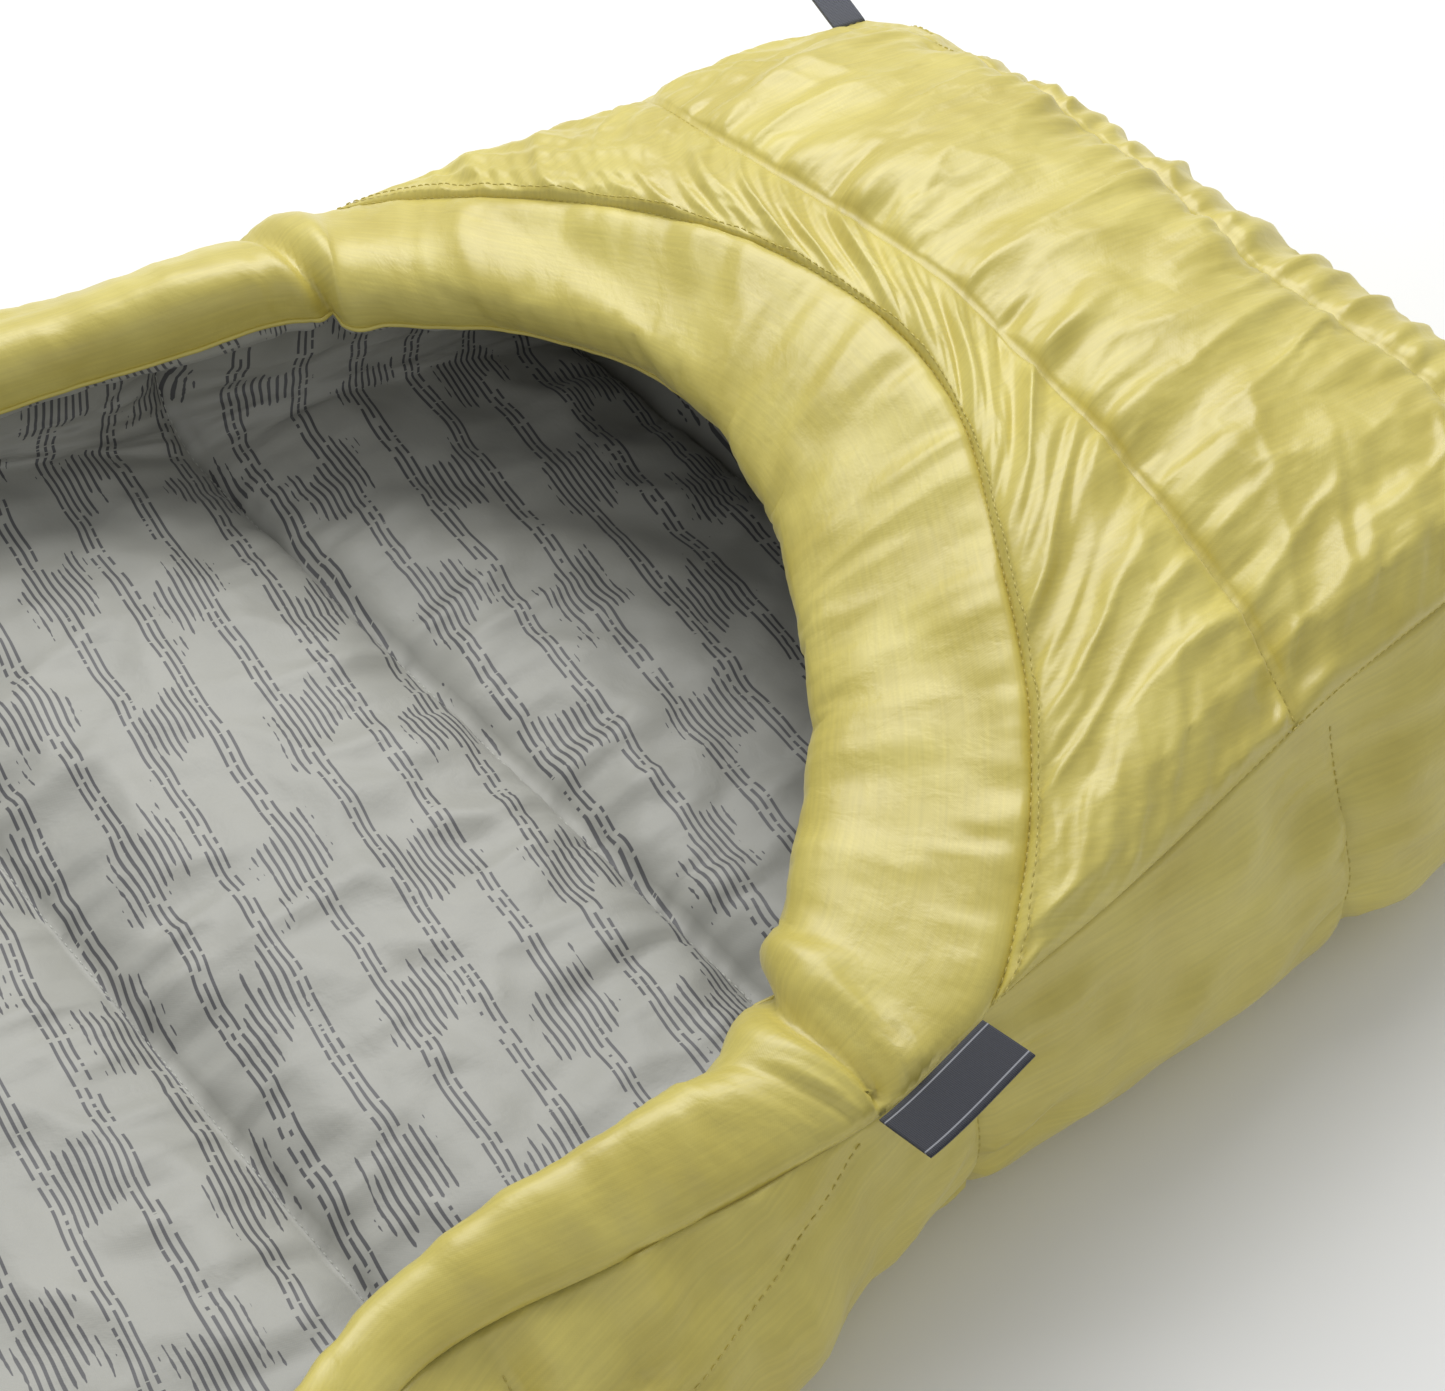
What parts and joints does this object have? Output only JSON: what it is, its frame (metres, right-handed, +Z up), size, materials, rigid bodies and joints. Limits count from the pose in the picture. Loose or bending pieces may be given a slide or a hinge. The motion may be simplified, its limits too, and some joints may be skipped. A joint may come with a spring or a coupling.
{
  "type": "camp quilt",
  "caption": "Camping quilt with a closed foot box, stuffed draft tubes along its edges, a snap neck tab and mattress loops.",
  "frame": {"origin": "centre of the quilt's outline on the ground it lies on", "axes": "+Y along the quilt towards its closed foot end, +X to the side that carries the label, +Z up out of the lining"},
  "size_m": [1.2784, 1.93, 0.2097],
  "materials": {
    "shell_cloth": "satin ripstop, mustard yellow",
    "lining_cloth": "printed taffeta, warm grey",
    "insulation": "lofted fill",
    "baffle_mesh": "fine net",
    "label_weave": "woven, dark",
    "webbing": "flat woven tape",
    "snap_plastic": "moulded, satin"
  },
  "bodies": {
    "foot_half": {"baffle_wall_1": "baffle_mesh", "baffle_wall_2": "baffle_mesh", "baffle_wall_3": "baffle_mesh", "baffle_wall_4": "baffle_mesh", "draft_tube_far_foot_cover": "shell_cloth", "draft_tube_far_foot_fill": "insulation", "draft_tube_near_foot_cover": "shell_cloth", "draft_tube_near_foot_fill": "insulation", "fill_chamber_1": "insulation", "fill_chamber_2": "insulation", "fill_chamber_3": "insulation", "fill_chamber_4": "insulation", "fill_chamber_5": "insulation", "foot_end_fill": "insulation", "foot_end_lining": "lining_cloth", "foot_end_shell": "shell_cloth", "foot_top_baffle_wall_1": "baffle_mesh", "foot_top_baffle_wall_2": "baffle_mesh", "foot_top_fill_1": "insulation", "foot_top_fill_2": "insulation", "foot_top_fill_3": "insulation", "foot_top_lining": "lining_cloth", "foot_top_shell": "shell_cloth", "lining_foot": "lining_cloth", "mouth_tube_cover": "shell_cloth", "mouth_tube_fill": "insulation", "shell_floor_foot": "shell_cloth", "shell_side_far_foot": "shell_cloth", "shell_side_near_foot": "shell_cloth"},
    "head_half": {"baffle_wall_6": "baffle_mesh", "baffle_wall_7": "baffle_mesh", "baffle_wall_8": "baffle_mesh", "draft_tube_far_head_cover": "shell_cloth", "draft_tube_far_head_fill": "insulation", "draft_tube_near_head_cover": "shell_cloth", "draft_tube_near_head_fill": "insulation", "fill_chamber_6": "insulation", "fill_chamber_7": "insulation", "fill_chamber_8": "insulation", "fill_chamber_9": "insulation", "head_tube_cover": "shell_cloth", "head_tube_fill": "insulation", "lining_head": "lining_cloth", "shell_floor_head": "shell_cloth", "shell_side_far_head": "shell_cloth", "shell_side_near_head": "shell_cloth"},
    "label": {"woven_label": "label_weave"},
    "corner_tab": {"foot_corner_tab": "webbing"},
    "neck_tab_near_side": {"neck_tab_near": "webbing", "snap_socket": "snap_plastic"},
    "neck_tab_far_side": {"neck_tab_far": "webbing", "snap_stud": "snap_plastic"},
    "loop_near_1": {"mattress_loop_near_1": "webbing"},
    "loop_near_2": {"mattress_loop_near_2": "webbing"},
    "loop_far_1": {"mattress_loop_far_1": "webbing"},
    "loop_far_2": {"mattress_loop_far_2": "webbing"}
  },
  "joints": [
    {"name": "fold_across", "type": "hinge", "parent": "foot_half", "child": "head_half", "pos_m": [0, -0.067, 0.036], "axis": [-1, 0, 0], "range_deg": [0, 105]},
    {"name": "label_flap", "type": "hinge", "parent": "foot_half", "child": "label", "pos_m": [0.27881, 0.5195, 0.12222], "axis": [-0.1123, 0.9778, 0.177], "range_deg": [-60, 75]},
    {"name": "corner_tab_flap", "type": "hinge", "parent": "foot_half", "child": "corner_tab", "pos_m": [-0.24402, 0.922, 0.15954], "axis": [0.1179, 0.993, -0.0094], "range_deg": [-75, 80]},
    {"name": "neck_tab_near_flap", "type": "hinge", "parent": "head_half", "child": "neck_tab_near_side", "pos_m": [0.59723, -0.899, 0.02922], "axis": [0, 1, 0], "range_deg": [-60, 35]},
    {"name": "neck_tab_far_flap", "type": "hinge", "parent": "head_half", "child": "neck_tab_far_side", "pos_m": [-0.59723, -0.899, 0.02922], "axis": [0, -1, 0], "range_deg": [-60, 35]},
    {"name": "loop_near_1_flap", "type": "hinge", "parent": "head_half", "child": "loop_near_1", "pos_m": [0.57674, -0.2715, 0.02961], "axis": [0, 1, 0], "range_deg": [-40, 30]},
    {"name": "loop_near_2_flap", "type": "hinge", "parent": "head_half", "child": "loop_near_2", "pos_m": [0.59052, -0.6805, 0.02922], "axis": [0, 1, 0], "range_deg": [-40, 30]},
    {"name": "loop_far_1_flap", "type": "hinge", "parent": "head_half", "child": "loop_far_1", "pos_m": [-0.5775, -0.2715, 0.02961], "axis": [0, -1, 0], "range_deg": [-40, 30]},
    {"name": "loop_far_2_flap", "type": "hinge", "parent": "head_half", "child": "loop_far_2", "pos_m": [-0.59052, -0.6805, 0.02922], "axis": [0, -1, 0], "range_deg": [-40, 30]}
  ]
}
